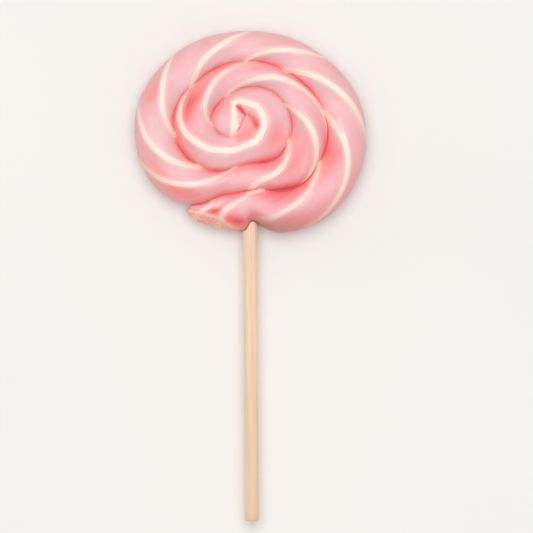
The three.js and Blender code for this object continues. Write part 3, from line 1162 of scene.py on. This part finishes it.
    def stripe_reach(self, on: Spread, points: Array) -> Array:
        """Half the stripe's width, counted in stripes, for an even width on the surface.

        Args:
            on: the surface.
            points: its finished points.

        Returns:
            Half the width in mm times the length of the phase's gradient on the surface, which comes from
            the steps of points and phase along the rows and columns by the usual metric.
        """
        along, across = np.gradient(points, axis=(0, 1))
        along_rate, across_rate = np.gradient(on.phase)
        e, f, g = (along**2).sum(-1), (along * across).sum(-1), (across**2).sum(-1)
        area = np.maximum(e * g - f * f, 1e-5)
        rate = (g * along_rate**2 - 2 * f * along_rate * across_rate + e * across_rate**2) / area
        reach = self.twist.half_width(on.walk, on.phase) * np.sqrt(np.maximum(rate, 0))
        return np.clip(reach, *self.reach_limits)

    def border(self, on: Spread) -> tuple[Array, Array]:
        """What is next to each place, the rim or a groove.

        Args:
            on: the surface.

        Returns:
            Whether the place is on the rim's side of the outer turn, and the walk of the groove next to it.
        """
        rim = (on.walk <= self.plan.tail_tip + TURN)[:, None] & (on.lateral < 0)
        own = np.where(on.lateral < 0, on.walk[:, None], on.walk[:, None] + TURN)
        return rim, own

    def groove(self, on: Spread) -> Array:
        """The narrow line at the bottom of the grooves.

        Args:
            on: the surface.

        Returns:
            1 on the line and 0 away from it, a bell of the distance in mm; 0 on the rim and in the centre.
        """
        rim, own = self.border(on)
        half = (self.plan.radius(on.walk) - self.plan.radius(on.walk + TURN)) / 2
        line = bell((1 - np.abs(on.lateral)) * half[:, None], self.seam_reach)
        return np.where(rim, 0, line) * (1 - ramp(own, *self.core_fade))

    def hollow(self, on: Spread) -> Array:
        """Painted shade of the surface: 0 on a crest, 1 at the bottom of a groove.

        Args:
            on: the surface.

        Returns:
            A power of the distance from the crest, which is steeper on the inner side and slight on the
            rim, times the groove's painted shade strength along the rope, stronger in the valleys between
            the lobes, plus painted shade on the groove's own line.
        """
        rim, own = self.border(on)
        away = np.abs(on.lateral)
        outer, inner = (size * away**power for size, power in (self.outer_flank, self.inner_flank))
        steps = self.tone_from + self.tone_step * np.arange(len(self.groove_shade_strength))
        tone = np.interp(own, steps, self.groove_shade_strength) * (1 - ramp(own, *self.core_fade))
        valley = self.valleys.strength(on.phase, on.lateral)
        flank, line = (plain + more * valley for plain, more in (self.flank_shade, self.line_tone))
        shade = np.where(on.lateral < 0, outer, inner) * tone * flank
        return np.where(rim, self.rim_edge_shade * away, shade) + self.groove(on) * line

    def painted_rim_shade(self, on: Spread) -> Array:
        """Painted shade, a dull rose, on the rim by the stick.

        Args:
            on: the surface.

        Returns:
            How much painted shade there is: lopsided bells along the rim, growing toward the edge.
        """
        along = sum(
            share * lopsided(on.walk - middle, before, after) for middle, before, after, share in self.rim_shade_bells
        )
        return along[:, None] * ramp(-on.lateral, *self.rim_shade_edge)

    def weld(self, rows: int) -> Array:
        """Numbers of both surfaces' points, the same where two points are one.

        Args:
            rows: number of rows along the rope.

        Returns:
            Numbers by surface and place on the grid. The surfaces share the rim and the tail's tip, a turn's
            inner edge is the next turn's outer edge, and the centre is one point on each surface. The last
            row is a single edge from the coil's end to the centre.
        """
        number = np.arange(2 * rows * (self.columns + 1)).reshape(2, rows, self.columns + 1)
        number[1, : TURN + 1, 0] = number[0, : TURN + 1, 0]
        number[1, 0] = number[0, 0]
        number[:, -1, :-1] = number[:, -1, :1]
        number[:, : rows - TURN, -1] = number[:, TURN:, 0]
        number[:, rows - TURN :, -1] = number[:, -1:, -1]
        return number.reshape(2, -1)

    def build(self) -> tuple[Piece, Array]:
        """The candy's mesh, both surfaces welded along the rim and from turn to turn.

        Returns:
            The object, with the marks on its face corners, and where the swirl's centre is in plan, in mm.
        """
        top, top_marks = self.surface(Side.UPPER)
        back, back_marks = self.surface(Side.BACK)
        number = self.weld(len(top))
        cells = grid_triangles(len(top) - 1, self.columns)
        grid = np.concatenate([cells, cells[:, ::-1] + number.shape[1]])
        corners = number.ravel()[grid]
        kept = whole(corners)
        points = np.stack([top, back]).reshape(-1, 3)
        middle = np.mean(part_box("candy_coil"), 0) / MM
        centre = (middle - (points.min(0) + points.max(0)) / 2)[:2]
        points[:, :2] += centre
        piece = new_mesh(self.name, points * MM, corners[kept])
        for mark in Mark:
            values = np.stack([top_marks[mark], back_marks[mark]]).ravel()[grid[kept]]
            layer = piece.data.attributes.new(mark.value, "FLOAT", "CORNER")
            layer.data.foreach_set("value", values.astype(np.float32).ravel())
        return piece, centre

    def dress(self, piece: Piece, material: Material) -> None:
        """Give the piece its finish, attach it to the root body, and hide the CAD part that it replaces.

        Args:
            piece: the object.
            material: its finish.
        """
        piece.data.materials.append(material)
        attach(piece, "root")
        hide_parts("candy_coil")


@dataclass
class Studio:
    """Pale floor, soft overhead light and the camera, with lengths in mm and lamp_turn in radians."""

    view_x: float = 5.31
    view_y: float = 3.14
    view_width: float = 175.06
    distance: float = 5000.0
    aim_height: float = 6.0
    sensor: float = 36.0
    clip: Pair = (10.0, 20000.0)
    floor_half: float = 3000.0
    floor_steps: int = 24
    lamp_width: float = 1100.0
    lamp_watts: float = 9.0
    lamp_colour: Triple = (1.0, 0.985, 0.965)
    lamp_place: Triple = (-30.0, 250.0, 1200.0)
    lamp_turn: Triple = (-0.2, -0.03, 0.0)
    surround: Colour = (1.0, 0.99, 0.98, 1.0)
    surround_strength: float = 0.58

    def floor(self, material: Material) -> None:
        """A level sheet under the part, a grid of even steps.

        Args:
            material: its finish.
        """
        steps = np.linspace(-self.floor_half, self.floor_half, self.floor_steps + 1)
        x, y = np.meshgrid(steps, steps, indexing="ij")
        points = np.stack([x, y, np.zeros_like(x)], -1).reshape(-1, 3)
        sheet = new_mesh("floor", points * MM, grid_triangles(self.floor_steps, self.floor_steps))
        sheet.data.materials.append(material)

    def light(self) -> None:
        """One large soft light overhead, a little toward the swirl, and an even pale surround."""
        lamp = bpy.data.lights.new("overhead", "AREA")
        lamp.shape = "DISK"
        lamp.size = self.lamp_width * MM
        lamp.energy = self.lamp_watts
        lamp.color = self.lamp_colour
        holder = bpy.data.objects.new("overhead", lamp)
        holder.location = [place * MM for place in self.lamp_place]
        holder.rotation_euler = self.lamp_turn
        bpy.context.scene.collection.objects.link(holder)
        world = bpy.data.worlds.new("surround")
        world.use_nodes = True
        background = world.node_tree.nodes["Background"]
        background.inputs["Color"].default_value = self.surround
        background.inputs["Strength"].default_value = self.surround_strength
        bpy.context.scene.world = world

    def camera(self) -> None:
        """The camera straight above, with the stick pointing down in the picture."""
        eye = bpy.data.cameras.new("camera")
        eye.sensor_width = self.sensor
        eye.lens = self.sensor * self.distance / self.view_width
        eye.clip_start, eye.clip_end = (end * MM for end in self.clip)
        holder = bpy.data.objects.new("camera", eye)
        holder.location = (self.view_x * MM, self.view_y * MM, (self.distance + self.aim_height) * MM)
        bpy.context.scene.collection.objects.link(holder)
        bpy.context.scene.camera = holder
        bpy.context.scene.view_settings.view_transform = "Standard"


def report(piece: Piece) -> None:
    """Log a piece's name, size in mm and number of triangles."""
    size = " x ".join(f"{side / MM:.1f}" for side in piece.dimensions)
    LOG.info("%s: %s mm, %d triangles", piece.name, size, len(piece.data.polygons))


def main() -> None:
    """Build the lollipop and the studio."""
    logging.basicConfig(level=logging.INFO, format="%(message)s")
    effects = Effects()
    coil = CandyCoil()
    candy, centre = coil.build()
    coil.dress(candy, CandyFinish().make(effects))
    report(candy)
    dowel = coil.stick.build(centre)
    coil.stick.dress(dowel, WoodFinish().make(effects))
    report(dowel)
    studio = Studio()
    studio.floor(FloorFinish().make(effects))
    studio.light()
    studio.camera()


if __name__ == "__main__":
    main()
